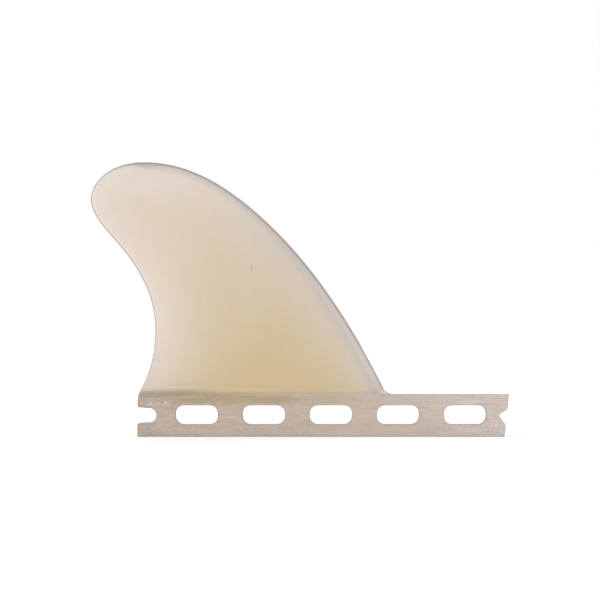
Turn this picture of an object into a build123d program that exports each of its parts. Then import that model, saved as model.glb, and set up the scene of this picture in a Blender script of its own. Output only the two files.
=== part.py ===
from build123d import *
from math import cos, radians, sin, tan
import os

# A side fin for a surfboard, in millimetres: a panel of glass fibre and resin, cut to one outline,
# with a windowed tab that drops into the board's fin box and a blade foiled on its outer face.
# The blade points up (+Z), its leading edge faces forward (+X), and its inner face is flat (+Y).
# The origin is the middle of the tab's underside.

# Tab
tab_length = 139.0  # along the underside
tab_depth = 16.1  # underside to the board's surface
tab_thickness = 6.6
front_lean = 6.5  # degrees that the front end leans forward
heel_round = 0.6  # radius of the rear end's lower corner

# Windows through the tab, which save weight; they fill it but for the webs left round them
window_count = 5
window_bridge = 9.5  # left between two windows
window_behind = 14.55  # left from the rear end to the row
window_ahead = 6.95  # left from the row to the front end
window_below = 4.6  # left from the underside to the row
window_above = 4.4  # left from the row to the board's surface
window_straight = 1.1  # straight part of a window's short sides, between its round corners

# Notch in the rear end, which hooks under a pin across the fin box
pin_notch_depth = 7.2
pin_notch_below = 5.0  # left from the underside to the notch's mouth
pin_notch_above = 5.1  # left from the mouth to the board's surface
pin_notch_taper = 0.25  # how far each side of the notch runs in, from its mouth to its round end
pin_notch_lip = 1.0  # radius of the lips

# Notch in the front end, which takes the point of the clamping screw, level with the windows
screw_notch_depth = 3.1  # from the front end to where its two flanks would meet
screw_flank_above = 32.0  # degrees that the upper flank slopes
screw_flank_below = 55.0  # degrees that the lower flank slopes
screw_notch_round = 0.8  # radius at the bottom of the notch

# Blade
blade_depth = 87.9  # board's surface to the tip
blade_base = 94.5  # rear end to leading edge, along the board's surface
root_thickness = 6.1  # thickest place, at the board's surface
edge_thickness = 0.8
rim_round = 0.3  # radius of the panel's rims
tip_fullness = 0.8  # power of the thickness law: lower keeps the blade thicker towards its tip
rear_fillet = 10.0  # where the trailing edge runs into the tab's rear end
front_fillet = 4.5  # where the leading edge meets the tab's top

# The blade's edge from the tab's rear end, round the tip to the front of its base, as shares of
# its base and of its depth, and the slopes from the vertical, in degrees, where it starts and ends.
edge_shares = [
    (0.0, -0.003),
    (0.068, 0.320),
    (-0.073, 0.640),
    (-0.1865, 0.865),
    (-0.1505, 0.931),
    (0.0885, 0.996),
    (0.4545, 0.802),
    (1.0, 0.0),
]
trailing_slope = 30.8
leading_slope = 26.6

# The foil's section, nose first, as shares of the chord and of the foil's rise above its edges:
# a blunt nose, thickest three tenths of the way back, and a nearly straight run to the rear.
foil_shares = [(0.0, 0.0), (0.0, 0.603), (0.119, 1.261), (0.408, 1.361), (1.0, 0.0)]

# Cove between the foiled face and the tab's side
cove_height = 3.0
ledge_rise = 0.3  # from the board's surface to the foot of the cove

# Grinding of the foiled face
nose_margin = 0.15  # how far the foil runs past the outline, so that the nose stays blunt
cove_start = 0.1  # how far outside the tab's side the cove's curve starts
cut_reach = 8.0  # how far the cut runs past the foil's ends
cut_height = 4.0  # how far the cut runs out past the tab's side
cove_steps = 6
span_steps = 12

half_thickness = tab_thickness / 2
rear_end = -tab_length / 2
front_end = tab_length / 2
front_slope = tan(radians(front_lean))
edge_points = [
    (rear_end + along * blade_base, tab_depth + up * blade_depth)
    for along, up in edge_shares
]
edge_tangents = [
    (sin(radians(trailing_slope)), cos(radians(trailing_slope))),
    (sin(radians(leading_slope)), -cos(radians(leading_slope))),
]


def blade_spline():
    """The blade's edge, from the tab's rear end round the tip to the front of its base."""
    return Spline(*edge_points, tangents=edge_tangents, tangent_scalars=(1, 1))


# The whole fin from the side, drawn on its flat inner face
pin_notch_mouth = tab_depth - pin_notch_below - pin_notch_above
pin_notch_rise = pin_notch_below + pin_notch_mouth / 2
pin_notch_radius = pin_notch_mouth / 2 - pin_notch_taper
pin_notch_run = pin_notch_depth - pin_notch_radius

window_row = tab_length - window_behind - window_ahead
window_length = (window_row - (window_count - 1) * window_bridge) / window_count
window_height = tab_depth - window_below - window_above
window_corner = (window_height - window_straight) / 2
window_rise = window_below + window_height / 2
window_middle = (window_behind - window_ahead) / 2

screw_notch_x = front_end + window_rise * front_slope - screw_notch_depth
screw_notch_run = 2 * screw_notch_depth

with BuildSketch(Plane.XZ.offset(-half_thickness)) as outline:
    with BuildLine():
        blade_edge = blade_spline()
        Polyline(
            blade_edge @ 1,
            (front_end + tab_depth * front_slope, tab_depth),
            (front_end, 0),
            (rear_end, 0),
            blade_edge @ 0,
        )
    make_face()
    with Locations((rear_end, pin_notch_rise)):
        Polygon(
            (0, pin_notch_mouth / 2),
            (0, -pin_notch_mouth / 2),
            (pin_notch_run, -pin_notch_radius),
            (pin_notch_run, pin_notch_radius),
            mode=Mode.SUBTRACT,
        )
        with Locations((pin_notch_run, 0)):
            Circle(pin_notch_radius, mode=Mode.SUBTRACT)
    with Locations((screw_notch_x, window_rise)):
        Polygon(
            (0, 0),
            (screw_notch_run, -screw_notch_run * tan(radians(screw_flank_below))),
            (screw_notch_run, screw_notch_run * tan(radians(screw_flank_above))),
            mode=Mode.SUBTRACT,
        )
    with Locations((window_middle, window_rise)):
        with GridLocations(window_length + window_bridge, 0, window_count, 1):
            RectangleRounded(window_length, window_height, window_corner, mode=Mode.SUBTRACT)
    for corner, radius in [
        (blade_edge @ 0, rear_fillet),
        (blade_edge @ 1, front_fillet),
        ((rear_end, 0), heel_round),
        ((rear_end, pin_notch_rise + pin_notch_mouth / 2), pin_notch_lip),
        ((rear_end, pin_notch_rise - pin_notch_mouth / 2), pin_notch_lip),
        ((screw_notch_x, window_rise), screw_notch_round),
    ]:
        fillet(outline.vertices().sort_by_distance(corner)[0], radius)

# The blade's side view alone, a margin larger all round, gives the foil's ends at each height.
with BuildSketch(Plane.XZ) as blade_view:
    with BuildLine():
        view_edge = blade_spline()
        Line(view_edge @ 1, view_edge @ 0)
    make_face()
    offset(amount=nose_margin)
blade_face = blade_view.sketch.face()
blade_top = blade_face.bounding_box().max.Z


def foil_ends(height):
    """Where the foil ends at one height, rear end first."""
    level = Edge.make_line((2 * rear_end, 0, height), (2 * front_end, 0, height))
    ends = [end.X for end in blade_face.intersect(level).vertices()]
    return min(ends), max(ends)


def cut_section(height, cove):
    """What is ground away at one height; cove runs from 0 at the ledge to 1 above the cove."""
    rear, front = foil_ends(height)
    up = (height - tab_depth) / (blade_top - tab_depth)
    rise = (root_thickness - edge_thickness) * (1 - up**2) ** tip_fullness
    ledge = tab_thickness + cove_start

    def outer_face(share):
        thickness = edge_thickness + share * rise
        return half_thickness - ledge + (ledge - thickness) * cove

    clear = -half_thickness - cut_height
    with BuildSketch(Plane.XY.offset(height)) as section:
        with BuildLine():
            foil = Bezier(
                *[(front - x * (front - rear), outer_face(y)) for x, y in foil_shares]
            )
            Polyline(
                foil @ 1,
                (rear - cut_reach, outer_face(0)),
                (rear - cut_reach, clear),
                (front + cut_reach, clear),
                (front + cut_reach, outer_face(0)),
                foil @ 0,
            )
        make_face()
    return section.sketch


ledge_height = tab_depth + ledge_rise
cove_top = ledge_height + cove_height
with BuildPart() as cove_cut:
    turns = [radians(90 * step / cove_steps) for step in range(cove_steps + 1)]
    loft([cut_section(cove_top - cove_height * cos(turn), sin(turn)) for turn in turns])

span = blade_top - nose_margin / 2 - cove_top
with BuildPart() as foil_cut:
    turns = [radians(90 * step / span_steps) for step in range(span_steps + 1)]
    loft([cut_section(cove_top + span * sin(turn), 1) for turn in turns])

# The panel less what is ground away, with its rims rounded. The foiled face's own rim stays crisp,
# and so does the line where the cove leaves the tab's side.
with BuildPart() as fin:
    extrude(outline.sketch, amount=tab_thickness)
    add([cove_cut.part, foil_cut.part], mode=Mode.SUBTRACT)
    inner_rim = fin.faces().sort_by(Axis.Y)[-1].outer_wire().edges()
    outer_rim = fin.faces().sort_by(Axis.Y)[0].outer_wire().edges()
    tab_rim = outer_rim.filter_by(lambda edge: edge.center().Z < tab_depth + rim_round)
    fillet(inner_rim + tab_rim, rim_round)

fin.part.label = "fin"
os.makedirs("parts", exist_ok=True)
export_step(fin.part, "parts/fin.step")
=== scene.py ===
import bmesh
import bpy
import math
import numpy as np
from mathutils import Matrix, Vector


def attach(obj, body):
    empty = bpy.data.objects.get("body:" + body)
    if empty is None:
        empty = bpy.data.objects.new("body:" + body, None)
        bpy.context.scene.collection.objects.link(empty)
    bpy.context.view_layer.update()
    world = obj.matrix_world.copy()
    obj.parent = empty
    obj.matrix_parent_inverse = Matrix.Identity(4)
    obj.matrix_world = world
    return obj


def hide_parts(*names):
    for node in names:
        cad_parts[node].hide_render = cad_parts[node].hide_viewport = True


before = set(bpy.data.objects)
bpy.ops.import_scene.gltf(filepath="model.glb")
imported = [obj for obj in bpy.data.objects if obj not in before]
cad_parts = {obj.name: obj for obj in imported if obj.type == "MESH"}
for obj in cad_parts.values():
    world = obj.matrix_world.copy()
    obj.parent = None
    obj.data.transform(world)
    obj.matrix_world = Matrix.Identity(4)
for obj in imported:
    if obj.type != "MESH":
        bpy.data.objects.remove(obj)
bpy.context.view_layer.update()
mm = 0.001  # every length below is in millimetres until it goes into a mesh
print("frame loaded, nodes:", sorted(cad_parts))


# The fin's outline in the side view: x runs forward, and z up from the tab's underside.
side = {
    "tabLength": 139.0,
    "tabDepth": 16.1,
    "tabThickness": 6.6,
    "frontLean": 6.5,  # degrees
    "bladeBase": 94.5,
    "bladeDepth": 87.9,
    "edgeShares": [(0.0, -0.003), (0.068, 0.320), (-0.073, 0.640), (-0.1865, 0.865),
                   (-0.1505, 0.931), (0.0885, 0.996), (0.4545, 0.802), (1.0, 0.0)],
    "trailingSlope": 30.8,  # degrees from the vertical
    "leadingSlope": 26.6,
    "rearFillet": 10.0,
    "frontFillet": 4.5,
    "heelRound": 0.6,
    "cornerRound": 0.45,  # the corners that a mill leaves are broken by hand
    "curveSteps": 300,  # points on each piece of the blade's edge
    "rearSteps": 24,  # and on the two fillets
    "frontSteps": 40,
}
pinNotch = {"depth": 7.2, "mouth": 6.0, "radius": 2.75, "rise": 8.0, "lip": 1.0, "steps": 24}
screwNotch = {"depth": 3.1, "rise": 8.15, "above": 32.0, "below": 55.0, "round": 0.8}
windows = {"count": 5, "pitch": 25.4, "length": 15.9, "height": 7.1, "corner": 3.0,
           "rise": 8.15, "middle": 3.8, "rimRound": 0.18, "cornerSteps": 10}


# A curve through all the points, in cubic pieces run at the pace of their chords. The slopes at
# the points solve the equations that make the bend agree on both sides of each point, and the
# two end slopes are given.
def smoothCurve(points, startSlope, endSlope, steps):
    points = np.array(points, float)
    gap = np.linalg.norm(np.diff(points, axis=0), axis=1)
    pace = np.diff(points, axis=0) / gap[:, None]
    inner = np.arange(1, len(points) - 1)
    weights = np.eye(len(points))
    weights[inner, inner - 1] = gap[1:]
    weights[inner, inner] = 2 * (gap[:-1] + gap[1:])
    weights[inner, inner + 1] = gap[:-1]
    wanted = np.vstack([[startSlope],
                        3 * (gap[1:, None] * pace[:-1] + gap[:-1, None] * pace[1:]),
                        [endSlope]])
    slopes = np.linalg.solve(weights, wanted)
    u = np.linspace(0, 1, steps, endpoint=False)[None, :, None]
    leave = (slopes[:-1] * gap[:, None])[:, None]
    arrive = (slopes[1:] * gap[:, None])[:, None]
    curve = ((1 + 2 * u) * (1 - u) ** 2 * points[:-1, None] + u * (1 - u) ** 2 * leave
             + u ** 2 * (3 - 2 * u) * points[1:, None] - u ** 2 * (1 - u) * arrive)
    return np.vstack([curve.reshape(-1, 2), points[-1:]])


# The unit direction into the fin along a path that runs clockwise in the side view: the mean
# direction of the two steps that meet at a point, turned a quarter to the right.
def inward(path):
    step = np.diff(path, axis=0)
    step /= np.linalg.norm(step, axis=1)[:, None]
    mean = np.vstack([step[:1], step[:-1] + step[1:], step[-1:]])
    mean /= np.linalg.norm(mean, axis=1)[:, None]
    return np.column_stack([mean[:, 1], -mean[:, 0]])


# An arc round a centre from start to end: the two arms are mixed by the sines of the shares of
# the turn that are left and done.
def arc(centre, start, end, steps):
    centre, start, end = (np.array(p, float) for p in (centre, start, end))
    arms = np.vstack([start - centre, end - centre])
    size = np.linalg.norm(arms, axis=1)
    turn = math.acos(np.clip(arms[0] @ arms[1] / size[0] / size[1], -1, 1))
    t = np.linspace(0, 1, steps + 1)[:, None]
    return centre + (np.sin((1 - t) * turn) * arms[0] + np.sin(t * turn) * arms[1]) / math.sin(turn)


# The arc that rounds a corner between two straight lines: its centre is on the line that halves
# the corner, radius / sin(half the angle) away.
def cornerArc(before, corner, after, radius, steps=8):
    before, corner, after = (np.array(p, float) for p in (before, corner, after))
    toBefore = (before - corner) / np.linalg.norm(before - corner)
    toAfter = (after - corner) / np.linalg.norm(after - corner)
    half = math.acos(toBefore @ toAfter) / 2
    middle = (toBefore + toAfter) / np.linalg.norm(toBefore + toAfter)
    run = radius / math.tan(half)
    return arc(corner + middle * radius / math.sin(half),
               corner + toBefore * run, corner + toAfter * run, steps)


# The place on a path at a point's number, which may lie between two points: a straight mix.
def pointAt(path, number):
    return np.array([np.interp(number, np.arange(len(path)), path[:, i]) for i in range(2)])


rearEnd = -side["tabLength"] / 2
frontEnd = side["tabLength"] / 2
frontSlope = math.tan(math.radians(side["frontLean"]))
trailing = math.radians(side["trailingSlope"])
leading = math.radians(side["leadingSlope"])
bladeEdge = smoothCurve(
    [(rearEnd + across * side["bladeBase"], side["tabDepth"] + up * side["bladeDepth"])
     for across, up in side["edgeShares"]],
    (math.sin(trailing), math.cos(trailing)), (math.sin(leading), -math.cos(leading)),
    side["curveSteps"])

# The blade's edge runs into the tab on two arcs. Each arc's centre lies a radius from the edge
# and a radius from the tab's straight side.
edgeNumbers = np.arange(len(bladeEdge))
nearTab = side["curveSteps"] // 2
rearCentres = bladeEdge + inward(bladeEdge) * side["rearFillet"]
frontCentres = bladeEdge - inward(bladeEdge) * side["frontFillet"]
rearNumber = np.interp(rearEnd + side["rearFillet"], rearCentres[:nearTab, 0],
                       edgeNumbers[:nearTab])
frontNumber = np.interp(side["tabDepth"] + side["frontFillet"], frontCentres[:-nearTab:-1, 1],
                        edgeNumbers[:-nearTab:-1])
rearCentre, frontCentre = pointAt(rearCentres, rearNumber), pointAt(frontCentres, frontNumber)
rearTouch, frontTouch = pointAt(bladeEdge, rearNumber), pointAt(bladeEdge, frontNumber)
upperPath = np.vstack([
    arc(rearCentre, (rearEnd, rearCentre[1]), rearTouch, side["rearSteps"])[:-1],
    rearTouch, bladeEdge[math.ceil(rearNumber):math.floor(frontNumber) + 1], frontTouch,
    arc(frontCentre, frontTouch, (frontCentre[0], side["tabDepth"]), side["frontSteps"])[1:]])


# The tab's front end at a height: it leans forward by its slope.
def frontFace(height):
    return frontEnd + height * frontSlope, height


# The tab's own corners, each with its round, clockwise from the tab's top at the front to the
# notch in its rear end.
screwX = frontFace(screwNotch["rise"])[0] - screwNotch["depth"]
aboveSlope = math.tan(math.radians(screwNotch["above"]))
belowSlope = math.tan(math.radians(screwNotch["below"]))
mouthTop = screwNotch["depth"] * aboveSlope / (1 - frontSlope * aboveSlope)
mouthBottom = screwNotch["depth"] * belowSlope / (1 + frontSlope * belowSlope)
notchMiddle = np.array([rearEnd + pinNotch["depth"] - pinNotch["radius"], pinNotch["rise"]])
tabCorners = [
    ((frontCentre[0], side["tabDepth"]), None),
    (frontFace(side["tabDepth"]), side["cornerRound"]),
    (frontFace(screwNotch["rise"] + mouthTop), side["cornerRound"]),
    ((screwX, screwNotch["rise"]), screwNotch["round"]),
    (frontFace(screwNotch["rise"] - mouthBottom), side["cornerRound"]),
    (frontFace(0), side["cornerRound"]),
    ((rearEnd, 0), side["heelRound"]),
    ((rearEnd, pinNotch["rise"] - pinNotch["mouth"] / 2), pinNotch["lip"]),
    ((notchMiddle[0], pinNotch["rise"] - pinNotch["radius"]), None),
]
notchTurn = np.radians(np.linspace(-90, 90, pinNotch["steps"] + 1))
notchEnd = notchMiddle + pinNotch["radius"] * np.column_stack([np.cos(notchTurn),
                                                               np.sin(notchTurn)])
lowerPath = np.vstack(
    [cornerArc(tabCorners[i - 1][0], tabCorners[i][0], tabCorners[i + 1][0], tabCorners[i][1])
     for i in range(1, len(tabCorners) - 1)]
    + [notchEnd,
       cornerArc(notchEnd[-1], (rearEnd, pinNotch["rise"] + pinNotch["mouth"] / 2),
                 (rearEnd, rearCentre[1]), pinNotch["lip"])])
print("outline:", len(upperPath), "points on the blade,", len(lowerPath), "on the tab")


# The blade's section, nose first, and the cove below it
foil = {
    "rootThickness": 6.1,
    "edgeThickness": 0.8,
    "tipFullness": 0.8,
    "noseMargin": 0.15,  # how far the foil runs past the outline
    "shares": [(0.0, 0.0), (0.0, 0.603), (0.119, 1.261), (0.408, 1.361), (1.0, 0.0)],
    "curvePoints": 1500,
    "leastChord": 0.000001,  # keeps the tip's own share from dividing by nothing
    "ledgeRise": 0.3,
    "coveHeight": 3.0,
    "coveStart": 0.1,  # how far outside the tab's side the cove's curve starts
    "ledgeRound": 0.15,
    "ledgeShare": 0.3,  # the most of the ledge's width that its round takes
    "rimRound": 0.3,
}
halfThickness = side["tabThickness"] / 2
ledgeHeight = side["tabDepth"] + foil["ledgeRise"]
coveTop = ledgeHeight + foil["coveHeight"]
topIndex = int(np.argmax(upperPath[:, 1]))
marginPath = upperPath - inward(upperPath) * foil["noseMargin"]
marginTop = int(np.argmax(marginPath[:, 1]))
foilTop = marginPath[marginTop, 1]

# The foil's rise above its edges at a share of the chord, read off the curve of its shares.
foilSteps = np.linspace(0, 1, foil["curvePoints"])[:, None] ** 2
foilCurve = sum(math.comb(4, i) * foilSteps ** i * (1 - foilSteps) ** (4 - i) * np.array(share)
                for i, share in enumerate(foil["shares"]))


# Where a path's rear and front sides are at given heights: read off between its points.
def ends(path, top, z):
    return (np.interp(z, path[:top + 1, 1], path[:top + 1, 0]),
            np.interp(z, path[:top - 1:-1, 1], path[:top - 1:-1, 0]))


# The foiled face's y over the side view. Thickness is the edge's, plus the foil's rise at this
# share of the chord times (1 - up squared) to the power of the tip's fullness. In the cove the
# face runs out to the tab's side on a quarter of an ellipse, and its crisp line is rounded.
def outerFace(x, z):
    rear, front = ends(marginPath, marginTop, np.clip(z, ledgeHeight, foilTop))
    share = np.clip((front - x) / np.maximum(front - rear, foil["leastChord"]), 0, 1)
    up = np.clip((z - side["tabDepth"]) / (foilTop - side["tabDepth"]), 0, 1)
    rise = (foil["rootThickness"] - foil["edgeThickness"]) * (1 - up ** 2) ** foil["tipFullness"]
    thickness = foil["edgeThickness"] + rise * np.interp(share, foilCurve[:, 0], foilCurve[:, 1])
    down = np.clip((coveTop - z) / foil["coveHeight"], 0, 1)
    cove = np.sqrt(1 - down ** 2)
    ledge = side["tabThickness"] + foil["coveStart"]
    face = halfThickness - ledge + (ledge - thickness) * cove
    corner = np.minimum(foil["ledgeRound"], foil["ledgeShare"] * (side["tabThickness"] - thickness))
    over = np.clip(z - ledgeHeight + corner, 0, corner)
    rounded = corner - np.sqrt(np.maximum(corner ** 2 - over ** 2, 0))
    return np.maximum(face, rounded - halfThickness)


# The tab's outer side: flat, half the thickness out.
def tabSide(x, z):
    return np.full(np.shape(x), -halfThickness)


# A rim's section from the outer face round to the inner face: how far in from the outline each
# point lies, and how far it is below the nearer face. Each half is a quarter of a circle.
def rimSection(radius, steps=5):
    turn = np.radians(np.linspace(0, 90, steps + 1))
    return radius * (1 - np.sin(turn)), radius * (1 - np.cos(turn))


# Rims carried along a path: each point moves in by the rim's inset along its own direction. The
# rows run along the path, and the columns from the outer face round to the inner face.
def rimStrip(path, into, radius, outerAt):
    inset, sink = rimSection(radius)
    spots = path[:, None] + into[:, None] * inset[None, :, None]
    outer = outerAt(spots[..., 0], spots[..., 1]) + sink
    inner = np.broadcast_to(halfThickness - sink, outer.shape)
    outerSide = np.stack([spots[..., 0], outer, spots[..., 1]], axis=-1)
    innerSide = np.stack([spots[..., 0], inner, spots[..., 1]], axis=-1)
    return np.concatenate([outerSide, innerSide[:, ::-1]], axis=1)


skin = {
    "ledgeRows": 4,
    "coveRows": 16,
    "bladeRows": 150,
    "columns": 96,
    "evenShare": 0.15,  # the rest of the columns' spacing is drawn in towards both edges
    "squareRun": 1.5,  # over this run the rims turn from level, at the ledge, to square to the edge
    "pathGap": 0.01,  # the least step between the tab's rim and the first row of the blade
    "seam": 0.00005,  # points nearer than this are one point
    "flatness": 0.001,  # how near an open edge lies to the tab's side that it bounds
    "sharpAngle": 40.0,
}

# Heights of the rows: even through the ledge's round, then by the cosine of the cove's turn, and
# by the sine up to the tip, so that they close up where the surface turns.
turnUp = np.linspace(0, 90, skin["coveRows"] + 1)
spanUp = np.linspace(0, 90, skin["bladeRows"] + 1)
baseHeight = ledgeHeight - foil["ledgeRound"]
tipHeight = upperPath[topIndex, 1]
heights = np.concatenate([
    np.linspace(baseHeight, ledgeHeight, skin["ledgeRows"], endpoint=False),
    coveTop - foil["coveHeight"] * np.cos(np.radians(turnUp[:-1])),
    coveTop + (tipHeight - coveTop) * np.sin(np.radians(spanUp))])
heights[-1] = tipHeight


# Mixes the level direction into the one that is square to the edge, near the ledge.
def eased(into, level, run):
    mix = np.clip(run / skin["squareRun"], 0, 1)[:, None]
    mix = mix * mix * (3 - 2 * mix)
    mixed = mix * into + (1 - mix) * np.array(level)
    return mixed / np.linalg.norm(mixed, axis=1)[:, None]


# One side of the blade: where its edge is at each row's height, and the rim carried along it.
# The part is that side's share of the outline, from the tab up, and level points into the fin.
def bladeSide(part, level):
    edge, into = upperPath[part], inward(upperPath)[part]
    x = np.interp(heights, edge[:, 1], edge[:, 0])
    rowInto = np.column_stack([np.interp(heights, edge[:, 1], into[:, i]) for i in range(2)])
    rowInto[-1] = (0, -1)
    rowInto = eased(rowInto, level, heights - baseHeight)
    return x, rimStrip(np.column_stack([x, heights]), rowInto, foil["rimRound"], outerFace)


rearX, rearRim = bladeSide(slice(0, topIndex + 1), (1, 0))
frontX, frontRim = bladeSide(slice(None, topIndex - 1, -1), (-1, 0))

# Between the rims each row is a straight run in the side view, at shares drawn in at both ends.
evenly = np.linspace(0, 1, skin["columns"] + 1)
columnShares = (skin["evenShare"] * evenly
                + (1 - skin["evenShare"]) * (1 - np.cos(math.pi * evenly)) / 2)
between = columnShares[1:-1][None, :, None]
runs = rearRim[:, :1, ::2] * (1 - between) + frontRim[:, :1, ::2] * between
outerSkin = np.stack([runs[..., 0], outerFace(runs[..., 0], runs[..., 1]), runs[..., 1]], axis=-1)
innerSkin = np.stack([runs[..., 0], np.full(runs.shape[:2], halfThickness), runs[..., 1]], axis=-1)
bladeGrid = np.concatenate([outerSkin, frontRim, innerSkin[:, ::-1], rearRim[:, ::-1]], axis=1)
print("blade skin:", bladeGrid.shape[0], "rows of", bladeGrid.shape[1])

# The tab's rim runs on from the blade's front edge, round the tab, to the blade's rear edge.
belowRows = upperPath[:, 1] < baseHeight - skin["pathGap"]
tabPath = np.vstack([
    (frontX[0], baseHeight), upperPath[topIndex:][belowRows[topIndex:]], lowerPath,
    upperPath[:topIndex][belowRows[:topIndex]], (rearX[0], baseHeight)])
runAlong = np.concatenate([[0], np.cumsum(np.linalg.norm(np.diff(tabPath, axis=0), axis=1))])
tabInto = eased(inward(tabPath), (-1, 0), runAlong)
tabInto = eased(tabInto, (1, 0), runAlong[-1] - runAlong)
tabStrip = rimStrip(tabPath, tabInto, foil["rimRound"], tabSide)


# A window's edge: a corner's arc at each corner of a rectangle, counterclockwise in the side
# view, so that the fin lies to the right of it.
def windowEdge(middle):
    turn = np.radians(np.linspace(0, 90, windows["cornerSteps"] + 1))
    turns = (np.arange(4)[:, None] * math.pi / 2 + turn[None, :]).ravel()
    reach = np.array([windows["length"] / 2, windows["height"] / 2]) - windows["corner"]
    signs = np.repeat([(1, 1), (-1, 1), (-1, -1), (1, -1)], len(turn), axis=0)
    into = np.column_stack([np.cos(turns), np.sin(turns)])
    return signs * reach + windows["corner"] * into + (middle, windows["rise"]), into


firstWindow = windows["middle"] - windows["pitch"] * (windows["count"] - 1) / 2
windowStrips = [
    rimStrip(*windowEdge(firstWindow + i * windows["pitch"]), windows["rimRound"], tabSide)
    for i in range(windows["count"])]


# Four-sided faces over a grid of points numbered row by row from the first one.
def gridFaces(rows, columns, first, closedRows, closedColumns):
    r = np.arange(rows if closedRows else rows - 1)[:, None]
    c = np.arange(columns if closedColumns else columns - 1)[None, :]
    below, right = (r + 1) % rows, (c + 1) % columns
    corners = [r * columns + c, r * columns + right, below * columns + right, below * columns + c]
    return np.stack(np.broadcast_arrays(*corners), axis=-1).reshape(-1, 4) + first


# The share of a rim's turn at each column of a strip: 1 on the wall and 0 on the two faces.
rimTurn = 1 - rimSection(1)[0]
rimTurn = np.concatenate([rimTurn, rimTurn[::-1]])
flat = np.zeros(outerSkin.shape[1])
grids = [(bladeGrid, np.concatenate([flat, rimTurn, flat, rimTurn]), False, True),
         (tabStrip, rimTurn, False, False)]
grids += [(strip, rimTurn, True, False) for strip in windowStrips]
points, faces, rims = [], [], []
firstPoint = 0
for grid, rim, closedRows, closedColumns in grids:
    points.append(grid.reshape(-1, 3))
    rims.append(np.tile(rim, len(grid)))
    faces.append(gridFaces(*grid.shape[:2], firstPoint, closedRows, closedColumns))
    firstPoint += grid.shape[0] * grid.shape[1]
points, faces, rims = np.concatenate(points), np.concatenate(faces), np.concatenate(rims)

mesh = bpy.data.meshes.new("finPanel")
mesh.from_pydata(points * mm, [], faces.tolist())
mesh.attributes.new("rim", "FLOAT", "POINT").data.foreach_set("value", rims.astype(np.float32))

# The grids share their seams, which are merged. The tab's two flat sides are then filled between
# the open edges that lie on them.
shape = bmesh.new()
shape.from_mesh(mesh)
bmesh.ops.remove_doubles(shape, verts=shape.verts, dist=skin["seam"] * mm)
bmesh.ops.dissolve_degenerate(shape, edges=shape.edges, dist=skin["seam"] * mm)
for sideY in (-halfThickness, halfThickness):
    openEdges = [e for e in shape.edges if e.is_boundary
                 and all(abs(v.co.y - sideY * mm) < skin["flatness"] * mm for v in e.verts)]
    bmesh.ops.triangle_fill(shape, use_beauty=True, edges=openEdges, normal=(0, sideY, 0))
bmesh.ops.recalc_face_normals(shape, faces=shape.faces)
print("fin: open or odd edges:", sum(not e.is_manifold for e in shape.edges),
      "volume in mm3:", round(shape.calc_volume() / mm ** 3, 1))
shape.to_mesh(mesh)
shape.free()


# How far each spot is from the nearest point of a path, in blocks so that memory holds them all.
def nearest(spots, path, blocks=40):
    return np.concatenate([np.linalg.norm(block[:, None] - path[None], axis=2).min(axis=1)
                           for block in np.array_split(spots, blocks)])


# The colours build up with the distance from the leading and from the trailing edge, measured in
# the side view.
places = np.empty(len(mesh.vertices) * 3, np.float32)
mesh.vertices.foreach_get("co", places)
sidePlaces = places.reshape(-1, 3)[:, ::2].astype(float) / mm
edgePaths = {"fromNose": upperPath[topIndex:], "fromTail": upperPath[:topIndex + 1]}
for edgeName, edgePath in edgePaths.items():
    mesh.attributes.new(edgeName, "FLOAT", "POINT").data.foreach_set(
        "value", nearest(sidePlaces, edgePath).astype(np.float32))

finPanel = bpy.data.objects.new("finPanel", mesh)
bpy.context.scene.collection.objects.link(finPanel)
mesh.shade_smooth()
mesh.set_sharp_from_angle(angle=math.radians(skin["sharpAngle"]))
evenNormals = finPanel.modifiers.new("evenNormals", "WEIGHTED_NORMAL")
evenNormals.keep_sharp = True
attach(finPanel, "root")
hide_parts("fin")
print("fin mesh:", len(mesh.vertices), "points,", len(mesh.polygons), "faces")


# Paint: materials are worked out from the place on the fin and from the two edge distances.

# A colour given as it looks on a screen, from 0 to 255, as the linear values that nodes take.
def screenColour(red, green, blue):
    shown = np.array([red, green, blue]) / 255
    linear = np.where(shown <= 0.04045, shown / 12.92, ((shown + 0.055) / 1.055) ** 2.4)
    return (*linear.tolist(), 1.0)


# Adds a node, sets its properties, and gives its inputs numbers, colours or other nodes' outputs.
def addNode(tree, kind, inputs=(), **settings):
    made = tree.nodes.new("ShaderNode" + kind)
    for name, value in settings.items():
        setattr(made, name, value)
    for name, value in (inputs.items() if isinstance(inputs, dict) else enumerate(inputs)):
        if isinstance(value, bpy.types.NodeSocket):
            tree.links.new(value, made.inputs[name])
        else:
            made.inputs[name].default_value = value
    return made


# One step of arithmetic on numbers or on other nodes' outputs.
def maths(tree, operation, *inputs):
    return addNode(tree, "Math", inputs, operation=operation).outputs[0]


# The product of all the values.
def times(tree, first, *others):
    for other in others:
        first = maths(tree, "MULTIPLY", first, other)
    return first


# Eases from the first result to the second as value goes from low to high.
def ramp(tree, value, low, high, first=0.0, second=1.0):
    return addNode(tree, "MapRange", [value, low, high, first, second],
                   interpolation_type="SMOOTHSTEP").outputs[0]


# The sum of two ramps of one value.
def twoRamps(tree, value, one, other):
    return maths(tree, "ADD", ramp(tree, value, *one), ramp(tree, value, *other))


# A soft stripe: 1 where value is middle, and down to 0 at low and at high.
def stripe(tree, value, low, middle, high):
    return times(tree, ramp(tree, value, low, middle), ramp(tree, value, high, middle))


# exp(-distance / run): 1 at an edge, then dying away.
def fading(tree, distance, run):
    share = maths(tree, "DIVIDE", times(tree, distance, -1.0), run)
    return maths(tree, "EXPONENT", share)


# 1 - exp(-distance / run): 0 at an edge, then levelling out at 1.
def rising(tree, distance, run):
    return maths(tree, "SUBTRACT", 1.0, fading(tree, distance, run))


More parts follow.
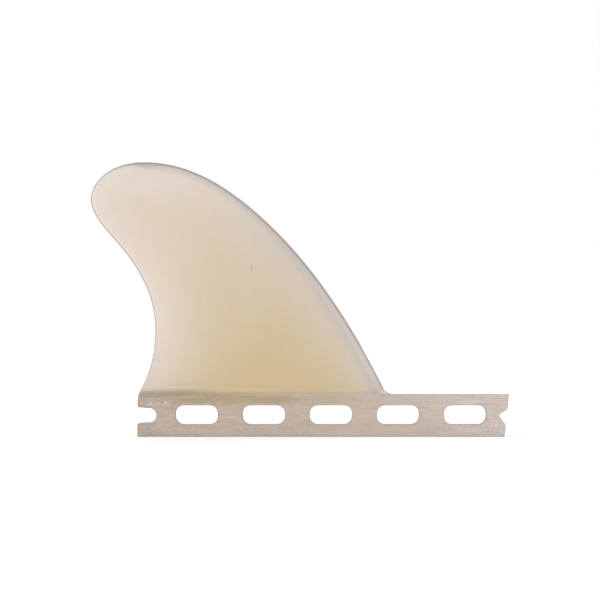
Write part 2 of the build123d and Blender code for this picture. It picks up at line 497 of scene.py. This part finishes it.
# A straight mix of two colours, where the share is how much of the second is in it.
def mixColour(tree, share, first, second):
    made = addNode(tree, "Mix", {0: share, 6: first, 7: second}, data_type="RGBA")
    return made.outputs[2]


# Lays a screen colour over a colour, as thickly as the share says.
def painted(tree, colour, share, tone):
    return mixColour(tree, share, colour, screenColour(*tone))


# Noise about 0, from about -0.5 to 0.5, on the point stretched along its three axes.
def noise(tree, point, stretch, scale, detail, roughness=0.5, turn=0.0):
    placed = addNode(tree, "Mapping", {0: point, 2: (0.0, math.radians(turn), 0.0), 3: stretch})
    made = addNode(tree, "TexNoise", {"Vector": placed.outputs[0], "Scale": scale,
                                      "Detail": detail, "Roughness": roughness})
    return maths(tree, "SUBTRACT", made.outputs[0], 0.5)


# A soft oval in the side view: 0 past its half length and half height, and 1 inside the firm
# share of them. The two runs are measured along and across its tilt, as shares of those halves.
def oval(tree, place, middle, half, tilt, firm=0.3):
    c, s = math.cos(math.radians(tilt)), math.sin(math.radians(tilt))
    x = maths(tree, "SUBTRACT", place["across"], middle[0])
    z = maths(tree, "SUBTRACT", place["up"], middle[1])
    runX = maths(tree, "ADD", times(tree, x, c / half[0]), times(tree, z, s / half[0]))
    runZ = maths(tree, "ADD", times(tree, x, -s / half[1]), times(tree, z, c / half[1]))
    reach = maths(tree, "ADD", times(tree, runX, runX), times(tree, runZ, runZ))
    return ramp(tree, maths(tree, "SQRT", reach), 1.0, firm)


# Paints the marks on a colour, only on the fin's outer side.
def marked(tree, colour, place, marks):
    for middle, half, tilt, strength, tone in marks:
        spot = times(tree, oval(tree, place, middle, half, tilt), place["outerSide"], strength)
        colour = painted(tree, colour, spot, tone)
    return colour


# An empty material with its shader, and the places that its patterns are laid out on, in mm.
def startMaterial(name):
    material = bpy.data.materials.new(name)
    material.use_nodes = True
    tree = material.node_tree
    tree.nodes.clear()
    shader = addNode(tree, "BsdfPrincipled")
    tree.links.new(shader.outputs[0], addNode(tree, "OutputMaterial").inputs[0])
    objectPoint = addNode(tree, "TexCoord").outputs["Object"]
    point = addNode(tree, "VectorMath", [objectPoint, (1 / mm, 1 / mm, 1 / mm)],
                    operation="MULTIPLY").outputs[0]
    across, depth, up = addNode(tree, "SeparateXYZ", [point]).outputs
    place = {"point": point, "across": across, "depth": depth, "up": up,
             "outerSide": ramp(tree, depth, 1.0, -1.0)}
    return material, tree, shader, place


# Links the worked-out values to the shader, and sets what is the same all over the surface on
# the shader's own sockets.
def finishMaterial(tree, shader, finish, colour, rough, relief):
    bump = addNode(tree, "Bump", {"Height": relief, **finish["bump"]}).outputs[0]
    for name, value in (("Base Color", colour), ("Roughness", rough), ("Normal", bump)):
        tree.links.new(value, shader.inputs[name])
    for name, value in finish["even"].items():
        shader.inputs[name].default_value = value


# A number that is kept on the mesh's points.
def attribute(tree, name):
    return addNode(tree, "Attribute", attribute_name=name).outputs["Fac"]


# The cloth in the resin: two families of yarns at 45 degrees, a sine across each family, and
# their product, which is light and dark like a plain weave.
def weave(tree, place, pitch):
    turn = 2 * math.pi / pitch * math.sqrt(0.5)
    one = maths(tree, "ADD", place["across"], place["up"])
    two = maths(tree, "SUBTRACT", place["across"], place["up"])
    return times(tree, maths(tree, "SINE", times(tree, one, turn)),
                 maths(tree, "SINE", times(tree, two, turn)))


# The panel's layers of cloth lie at steady depths: a sine of the depth, bent a little.
def layers(tree, place, wobble, pitch, bend=0.25):
    bent = maths(tree, "ADD", place["depth"], times(tree, wobble, bend))
    return maths(tree, "SINE", times(tree, bent, 2 * math.pi / pitch))


# Brightens or darkens a colour by a signed pattern times an amount.
def shaded(tree, colour, pattern, amount):
    level = maths(tree, "ADD", times(tree, pattern, amount), 1.0)
    return addNode(tree, "VectorMath", {0: colour, 3: level}, operation="SCALE").outputs[0]


# Warms and cools a colour by a signed pattern, between two tints.
def tinted(tree, colour, pattern, warm, cool):
    share = maths(tree, "ADD", pattern, 0.5)
    tint = mixColour(tree, share, (*cool, 1.0), (*warm, 1.0))
    return addNode(tree, "VectorMath", [colour, tint], operation="MULTIPLY").outputs[0]


cutLayers = [(0.42, 0.06), (1.3, 0.035)]  # pitch and strength of the fine and of the broad ones


# The panel's cut edge: fine layers of cloth, grouped in broader ones.
def cutEdge(tree, place, wobble, tone):
    colour = screenColour(*tone)[:3]
    for pitch, strength in cutLayers:
        colour = shaded(tree, colour, layers(tree, place, wobble, pitch), strength)
    return colour


# Places are in mm: across the side view, up from the tab's underside, or in from an edge. A run
# of four numbers is a ramp, from the first place to the second, between the last two values.
bladeFinish = {
    "noises": {  # stretch, scale, detail, roughness, turn
        "cloud": ((1, 1, 1), 0.045, 3.0),
        "blush": ((1, 1, 1), 0.11, 3.0, 0.6, 30.0),
        "fine": ((1, 1, 1), 0.35, 4.0, 0.6),
    },
    "pale": (231, 218, 209),  # thin laminate, along the edges and at the tip
    "core": (207, 186, 147),  # thick laminate, low in the middle of the blade
    "coreRuns": (9.5, 17.0),  # how fast the core's colour builds up from the front and the rear
    "coreLevels": (1.18, 0.58),  # how much of it shows at the cove and at the tip
    "coreCloud": 0.35,
    "noseShadeBand": (196, 184, 176),  # a grey band behind the leading edge: painted shade where the nose turns away from the light
    "noseWidth": (20.0, 65.0, 6.5, 11.0),  # up the blade
    "noseStrength": (65.0, 100.0, 0.92, 0.45),
    "tailBand": (203, 191, 184),  # a grey band inside the trailing edge
    "tailWidth": 3.5,
    "tailStrength": (46.0, 24.0, 0.0, 0.5),
    "noseShade": (167, 161, 163),  # a narrow shade where the nose starts to round over
    "shadeInset": (88.0, 30.0, 0.6, 3.2),  # how far it is from the leading edge, down the blade
    "shadeStripe": (-1.6, 0.0, 3.4),
    "shadeStrength": (60.0, 92.0, 0.26, 0.42),
    "blush": 2.6,  # the resin's colour is a little uneven
    "warm": (1.020, 0.990, 0.974),
    "cool": (0.983, 1.007, 1.0),
    "fineShade": 0.06,
    "clothPitch": 0.9,
    "clothLevel": 0.6,  # the cloth shows evenly but for the cloud
    "clothShade": 0.024,
    "layerPitch": 0.3,
    "layerShade": 0.003,
    "hollow": (coveTop + 1.5, ledgeHeight),  # the cove is duller, and darkened with painted shade
    "coveShadeAlong": [(-30.0, -52.0, 0.35, 1.0), (5.0, 25.0, 0.0, 0.3)],  # the painted shade is strongest at the rear end
    "coveShade": 0.20,
    # painted shade along the foot of the cove
    "foot": (17.3, 16.7),
    "footShade": 0.09,
    "edgeLine": (148, 139, 134),  # a dark line along the sanded edge: painted shade of its rounding
    "lineWidth": (-24.0, 0.0, 0.75, 1.35),  # from behind the tip's top to in front of it
    "lineInside": 0.12,  # the line is full inside this width
    "lineStrength": (-24.0, 0.0, 0.62, 0.93),
    "lineUp": [(ledgeHeight, ledgeHeight + 4.0, 0.3, 0.85), (ledgeHeight, 68.0, 0.55, 1.17)],
    "wornLine": (238, 229, 222),  # a pale line inside it at the rear
    "wornStripe": (0.5, 0.9, 1.5),
    "wornUp": (50.0, 62.0),
    "wornBehind": (-12.0, -26.0, 0.0, 0.5),
    "cut": (176, 164, 150),  # the cut edge's own colour
    "cutRun": (0.6, 1.0, 0.0, 0.7),  # by the share of the rim's turn
    "marks": [  # middle, half length and height, tilt, strength, colour
        ((-26.15, 63.8), (1.75, 0.32), 90, 0.5, (140, 124, 104)),
        # the next two: painted shadow at the foot of the cove, at the rear
        ((-70.0, 17.0), (32.0, 1.7), 0, 0.45, (150, 131, 112)),
        ((-69.0, 16.9), (8.5, 1.2), 0, 0.35, (140, 122, 106)),
    ],
    "tipMark": [(-65.4, 105.3), (11.2, 4.0), 2.5, 0.62],  # a darker sliver at the top, on both sides
    "tipStrength": 0.6,
    "tipTone": (184, 164, 146),
    "roughness": 0.36,
    "fineRough": 0.16,
    "hollowRough": 0.2,
    "clothRelief": 0.15,
    "bump": {"Strength": 0.06, "Distance": 0.0001},
    "even": {"IOR": 1.52, "Coat Weight": 0.2, "Coat Roughness": 0.22},
}


# Satin laminate: the core's colour shows where both edges are far, and the edges keep the pale
# one under their bands, shades and lines. The grey band behind the nose, the dark edge line and the
# darkened cove are painted shade, and the rim shows the cut panel.
def makeBladeMaterial(finish):
    material, tree, shader, place = startMaterial("satinLaminate")
    across, up = place["across"], place["up"]
    nose, tail = attribute(tree, "fromNose"), attribute(tree, "fromTail")
    cloud, blush, fine = (noise(tree, place["point"], *settings)
                          for settings in finish["noises"].values())
    cloth = weave(tree, place, finish["clothPitch"])

    level = addNode(tree, "MapRange", [up, coveTop, tipHeight, *finish["coreLevels"]]).outputs[0]
    core = times(tree, rising(tree, nose, finish["coreRuns"][0]),
                 rising(tree, tail, finish["coreRuns"][1]), level)
    core = addNode(tree, "Math", [core, times(tree, cloud, finish["coreCloud"], core)],
                   operation="ADD", use_clamp=True).outputs[0]
    colour = painted(tree, screenColour(*finish["pale"]), core, finish["core"])
    # The grey band behind the nose is painted shade.
    noseShadeBand = times(tree, fading(tree, nose, ramp(tree, up, *finish["noseWidth"])),
                     ramp(tree, up, *finish["noseStrength"]))
    colour = painted(tree, colour, noseShadeBand, finish["noseShadeBand"])
    tailBand = times(tree, fading(tree, tail, finish["tailWidth"]),
                     ramp(tree, up, *finish["tailStrength"]))
    colour = painted(tree, colour, tailBand, finish["tailBand"])
    inset = maths(tree, "SUBTRACT", nose, ramp(tree, up, *finish["shadeInset"]))
    shade = times(tree, stripe(tree, inset, *finish["shadeStripe"]),
                  ramp(tree, up, *finish["shadeStrength"]))
    colour = painted(tree, colour, shade, finish["noseShade"])
    colour = tinted(tree, colour, times(tree, blush, finish["blush"]), finish["warm"],
                    finish["cool"])
    colour = shaded(tree, colour, fine, finish["fineShade"])
    clothShown = times(tree, cloth, maths(tree, "ADD", cloud, finish["clothLevel"]))
    colour = shaded(tree, colour, clothShown, finish["clothShade"])
    colour = shaded(tree, colour, layers(tree, place, fine, finish["layerPitch"]),
                    finish["layerShade"])

    # Painted shade in the cove, strongest at the rear, and along its foot.
    hollow = ramp(tree, up, *finish["hollow"])
    coveShading = times(tree, hollow, twoRamps(tree, across, *finish["coveShadeAlong"]))
    colour = shaded(tree, colour, coveShading, -finish["coveShade"])
    colour = shaded(tree, colour, ramp(tree, up, *finish["foot"]), -finish["footShade"])
    colour = marked(tree, colour, place, finish["marks"])
    tip = times(tree, oval(tree, place, *finish["tipMark"]), finish["tipStrength"])
    colour = painted(tree, colour, tip, finish["tipTone"])

    # The lines follow the nearer edge. Ahead is above 0 where the leading edge is the nearer.
    ahead = maths(tree, "SUBTRACT", tail, nose)
    # The dark line along the edge is painted shade of the rounded rim.
    line = times(tree, ramp(tree, maths(tree, "MINIMUM", nose, tail),
                            ramp(tree, ahead, *finish["lineWidth"]), finish["lineInside"]),
                 ramp(tree, ahead, *finish["lineStrength"]),
                 *[ramp(tree, up, *run) for run in finish["lineUp"]])
    worn = times(tree, stripe(tree, tail, *finish["wornStripe"]),
                 ramp(tree, up, *finish["wornUp"]), ramp(tree, ahead, *finish["wornBehind"]))
    colour = painted(tree, colour, worn, finish["wornLine"])
    colour = painted(tree, colour, line, finish["edgeLine"])
    wall = ramp(tree, attribute(tree, "rim"), *finish["cutRun"])
    colour = mixColour(tree, wall, colour, cutEdge(tree, place, cloud, finish["cut"]))

    rough = maths(tree, "ADD", times(tree, fine, finish["fineRough"]), finish["roughness"])
    rough = maths(tree, "ADD", rough, times(tree, hollow, finish["hollowRough"]))
    relief = maths(tree, "ADD", times(tree, cloth, finish["clothRelief"]), fine)
    finishMaterial(tree, shader, finish, colour, rough, relief)
    return material


tabFinish = {
    "noises": {  # stretch, scale, detail, roughness, turn
        "cloud": ((1, 1, 1), 0.06, 3.0),
        "streak": ((0.05, 1, 1), 2.4, 4.0, 0.65),
        "scratch": ((0.06, 1, 1), 1.7, 3.0, 0.6, 24.0),
        "grain": ((1, 1, 1), 1.3, 4.0, 0.7),
        "blush": ((0.7, 1, 1), 0.3, 3.0, 0.6),
    },
    "stops": [(-69.5, (182, 167, 154)), (-62.0, (188, 173, 160)), (-10.0, (195, 180, 166)),
              (30.0, (199, 184, 171)), (69.5, (205, 193, 183))],  # place along the tab, colour
    "lowUp": (8.0, 4.0),  # a little darker below the front windows
    "lowAcross": [(-10.0, 40.0), (62.0, 56.0)],
    "lowShade": 0.04,
    "band": (178, 160, 134),  # a darker band under the cove
    "bandUp": (11.2, 13.6),
    "bandRear": (-66.0, -49.0),
    "bandFront": [(-2.0, -18.0, 0.0, 0.64), (24.0, 2.0, 0.0, 0.36)],
    "blush": 2.8,
    "warm": (1.024, 0.988, 0.98),
    "cool": (0.978, 1.002, 1.0),
    "shades": (0.11, 0.46, 0.26, 0.44),  # of the cloud, the streaks, the scratches and the grain
    "handled": [(-35.0, -50.0, 1.0, 1.55), (48.0, 60.0, 0.0, 0.8)],  # stronger at both ends
    "edgeLine": (158, 142, 128),  # darker lines round the windows and along the underside
    "lineRun": (0.6, 0.1),
    "lineStrength": 0.34,
    "underStrength": (50.0, -50.0, 0.25, 0.7),
    "cut": (172, 158, 146),  # the cut edge's own colour
    "cutRun": (0.3, 1.0, 0.0, 0.8),
    "cutGrain": 0.2,
    "marks": [  # middle, half length and height, tilt, strength, colour
        # the next two: painted shadow under the cove, at the rear
        ((-64.0, 15.7), (9.0, 1.5), -4, 0.45, (152, 134, 116)),
        ((-56.0, 16.05), (14.0, 0.6), -1, 0.45, (146, 128, 104)),
        # a painted highlight along the tab's top edge, under the cove
        ((-15.0, 15.7), (26.0, 0.8), 0, 0.3, (214, 198, 170)),
        ((-65.9, 11.95), (1.1, 0.35), 0, 0.45, (222, 209, 197)),
        ((-64.4, 12.35), (1.2, 0.5), 10, 0.62, (226, 214, 202)),
        ((-61.5, 12.6), (1.0, 0.6), 30, 0.55, (224, 209, 195)),
        ((-58.9, 12.75), (0.9, 0.7), 60, 0.7, (230, 218, 205)),
        ((-57.7, 12.1), (1.0, 0.35), 0, 0.5, (226, 212, 200)),
        ((-60.6, 14.0), (2.4, 0.3), -20, 0.3, (216, 202, 188)),
        ((-57.4, 7.1), (3.8, 0.24), 8, 0.45, (224, 212, 196)),
        ((-34.0, 7.2), (4.8, 0.28), 0, 0.62, (226, 212, 194)),
        ((-61.7, 3.5), (4.4, 0.55), 20, 0.25, (220, 206, 192)),
        ((-56.6, 5.0), (3.2, 0.4), 24, 0.2, (220, 206, 192)),
        ((-30.3, 3.15), (0.65, 0.55), 0, 0.6, (226, 212, 198)),
        ((-9.8, 4.1), (0.8, 0.3), -30, 0.4, (222, 208, 196)),
        ((2.6, 3.0), (1.6, 0.25), 0, 0.35, (222, 206, 192)),
        ((45.5, 12.0), (2.2, 0.3), 25, 0.35, (216, 200, 186)),
        ((55.0, 13.6), (0.5, 0.5), 0, 0.5, (220, 212, 206)),
    ],
    "roughness": 0.54,
    "streakRough": 0.25,
    "streakRelief": 0.7,
    "bump": {"Strength": 0.25, "Distance": 0.0002},
    "even": {"IOR": 1.5},
}


# How far a place is outside the nearest window: the place is folded into one window's pitch and
# into one quarter, and measured from the quarter's round corner.
def outsideWindows(tree, place):
    offset = maths(tree, "SUBTRACT", place["across"], windows["middle"])
    folded = maths(tree, "ABSOLUTE", maths(tree, "WRAP", offset, windows["pitch"] / 2,
                                           -windows["pitch"] / 2))
    raised = maths(tree, "ABSOLUTE", maths(tree, "SUBTRACT", place["up"], windows["rise"]))
    squares = []
    for value, size in ((folded, windows["length"]), (raised, windows["height"])):
        past = maths(tree, "SUBTRACT", value, size / 2 - windows["corner"])
        past = maths(tree, "MAXIMUM", past, 0.0)
        squares.append(times(tree, past, past))
    reach = maths(tree, "SQRT", maths(tree, "ADD", *squares))
    return maths(tree, "SUBTRACT", reach, windows["corner"])


# A colour that runs evenly from stop to stop along a value.
def throughStops(tree, value, stops):
    first, last = stops[0][0], stops[-1][0]
    share = addNode(tree, "MapRange", [value, first, last, 0.0, 1.0]).outputs[0]
    made = addNode(tree, "ValToRGB", [share])
    elements = made.color_ramp.elements
    while len(elements) < len(stops):
        elements.new(0.5)
    for element, (spot, tone) in zip(elements, stops):
        element.position = (spot - first) / (last - first)
        element.color = screenColour(*tone)
    return made.outputs[0]


# Milled laminate: paler towards the front, banded under the cove, and streaked, scratched and
# grained by its milling and by hands. The windows' edges and the underside are darker, and marks
# under the cove add painted shadow and a painted highlight.
def makeTabMaterial(finish):
    material, tree, shader, place = startMaterial("milledLaminate")
    across, up = place["across"], place["up"]
    cloud, streak, scratch, grain, blush = (noise(tree, place["point"], *settings)
                                            for settings in finish["noises"].values())

    colour = throughStops(tree, across, finish["stops"])
    low = times(tree, ramp(tree, up, *finish["lowUp"]),
                *[ramp(tree, across, *run) for run in finish["lowAcross"]])
    colour = shaded(tree, colour, low, -finish["lowShade"])
    band = times(tree, ramp(tree, up, *finish["bandUp"]),
                 twoRamps(tree, across, *finish["bandFront"]),
                 ramp(tree, across, *finish["bandRear"]))
    colour = painted(tree, colour, band, finish["band"])
    colour = tinted(tree, colour, times(tree, blush, finish["blush"]), finish["warm"],
                    finish["cool"])
    handled = twoRamps(tree, across, *finish["handled"])
    for pattern, amount in zip((cloud, streak, scratch, grain), finish["shades"]):
        colour = shaded(tree, colour, times(tree, pattern, handled), amount)
    colour = marked(tree, colour, place, finish["marks"])

    line = times(tree, ramp(tree, outsideWindows(tree, place), *finish["lineRun"]),
                 finish["lineStrength"])
    under = times(tree, ramp(tree, up, *finish["lineRun"]),
                  ramp(tree, across, *finish["underStrength"]))
    colour = painted(tree, colour, maths(tree, "MAXIMUM", line, under), finish["edgeLine"])
    wall = ramp(tree, attribute(tree, "rim"), *finish["cutRun"])
    cut = shaded(tree, cutEdge(tree, place, cloud, finish["cut"]), grain, finish["cutGrain"])
    colour = mixColour(tree, wall, colour, cut)

    rough = maths(tree, "ADD", times(tree, streak, finish["streakRough"]), finish["roughness"])
    streaks = times(tree, maths(tree, "ADD", streak, scratch), finish["streakRelief"])
    finishMaterial(tree, shader, finish, colour, rough, maths(tree, "ADD", streaks, grain))
    return material


mesh.materials.append(makeBladeMaterial(bladeFinish))
mesh.materials.append(makeTabMaterial(tabFinish))
centres = np.empty(len(mesh.polygons) * 3, np.float32)
mesh.polygons.foreach_get("center", centres)
onTab = (centres.reshape(-1, 3)[:, 2] < ledgeHeight * mm).astype(np.int32)
mesh.polygons.foreach_set("material_index", onTab)
mesh.update()
print("materials: blade and tab finishes painted")


# The floor and the air round the fin, in metres
room = {
    "floorSize": 6.0,
    "floorDrop": 0.00005,  # so that the floor and the tab's underside aren't in one plane
    "floorColour": (0.8, 0.8, 0.8, 1.0),
    "floorGlow": (0.15, 0.7, 0.22, 1.0),  # what it adds for the camera, near the fin to far away
    "airLevel": 0.75,
    "airColour": (1.0, 1.0, 1.0, 1.0),
}


# A matt floor that keeps the fin's shadow, and glows to white for the camera with the distance.
def makeFloorMaterial():
    material = bpy.data.materials.new("floorPaint")
    material.use_nodes = True
    tree = material.node_tree
    tree.nodes.clear()
    toCamera = addNode(tree, "LightPath").outputs["Is Camera Ray"]
    away = addNode(tree, "VectorMath", [addNode(tree, "TexCoord").outputs["Object"]],
                   operation="LENGTH").outputs["Value"]
    added = times(tree, toCamera, ramp(tree, away, *room["floorGlow"]))
    matt = addNode(tree, "BsdfDiffuse", {"Color": room["floorColour"]})
    glow = addNode(tree, "Emission", {"Strength": added})
    both = addNode(tree, "AddShader", [matt.outputs[0], glow.outputs[0]])
    tree.links.new(both.outputs[0], addNode(tree, "OutputMaterial").inputs[0])
    return material


# Even light from all round, which is white to the camera and less than that to the fin.
def makeAir():
    world = bpy.data.worlds.new("paleRoom")
    world.use_nodes = True
    tree = world.node_tree
    tree.nodes.clear()
    toCamera = addNode(tree, "LightPath").outputs["Is Camera Ray"]
    strength = maths(tree, "ADD", times(tree, toCamera, 1 - room["airLevel"]), room["airLevel"])
    air = addNode(tree, "Background", {"Color": room["airColour"], "Strength": strength})
    tree.links.new(air.outputs[0], addNode(tree, "OutputWorld").inputs[0])
    return world


floorMesh = bpy.data.meshes.new("floor")
floorCorners = np.array([(-1, -1, 0), (1, -1, 0), (1, 1, 0), (-1, 1, 0)]) * room["floorSize"] / 2
floorMesh.from_pydata(floorCorners, [], [(0, 1, 2, 3)])
floorMesh.materials.append(makeFloorMaterial())
floor = bpy.data.objects.new("floor", floorMesh)
floor.location.z = -room["floorDrop"]
bpy.context.scene.collection.objects.link(floor)
bpy.context.scene.world = makeAir()

# Three soft square lamps, all aimed at the middle of the fin: metres and watts
lamps = {
    "keyLamp": {"place": (-0.9, -1.1, 1.1), "size": 0.9, "power": 9.0},
    "fillLamp": {"place": (1.2, -0.9, 0.7), "size": 0.8, "power": 3.0},
    "backLamp": {"place": (0.3, 1.3, 1.2), "size": 1.0, "power": 6.0},
}
aim = np.array([-0.0075, 0, 0.05])
for lampName, lamp in lamps.items():
    light = bpy.data.lights.new(lampName, "AREA")
    light.shape = "SQUARE"
    light.size = lamp["size"]
    light.energy = lamp["power"]
    holder = bpy.data.objects.new(lampName, light)
    holder.location = lamp["place"]
    holder.rotation_mode = "QUATERNION"
    holder.rotation_quaternion = Vector(aim - np.array(lamp["place"])).to_track_quat("-Z", "Y")
    bpy.context.scene.collection.objects.link(holder)

# The photograph shows the foiled face square on, 0.379 mm to the pixel, from far away. Zero is
# the pixel where the fin's origin falls.
view = {"pixels": 600, "pixel": 0.37919, "zeroAcross": 320.85, "zeroDown": 436.25,
        "lens": 250.0, "sensor": 36.0, "farClip": 20.0}
camera = bpy.data.cameras.new("camera")
camera.lens = view["lens"]
camera.sensor_width = view["sensor"]
camera.clip_end = view["farClip"]
cameraObject = bpy.data.objects.new("camera", camera)
middlePixel = view["pixels"] / 2
distance = view["pixels"] * view["pixel"] * mm * view["lens"] / view["sensor"]
cameraObject.location = ((middlePixel - view["zeroAcross"]) * view["pixel"] * mm, -distance,
                         (view["zeroDown"] - middlePixel) * view["pixel"] * mm)
cameraObject.rotation_euler = (math.radians(90), 0, 0)
bpy.context.scene.collection.objects.link(cameraObject)
bpy.context.scene.camera = cameraObject
bpy.context.scene.view_settings.view_transform = "Standard"
print("stage: floor,", len(lamps), "lamps and camera")
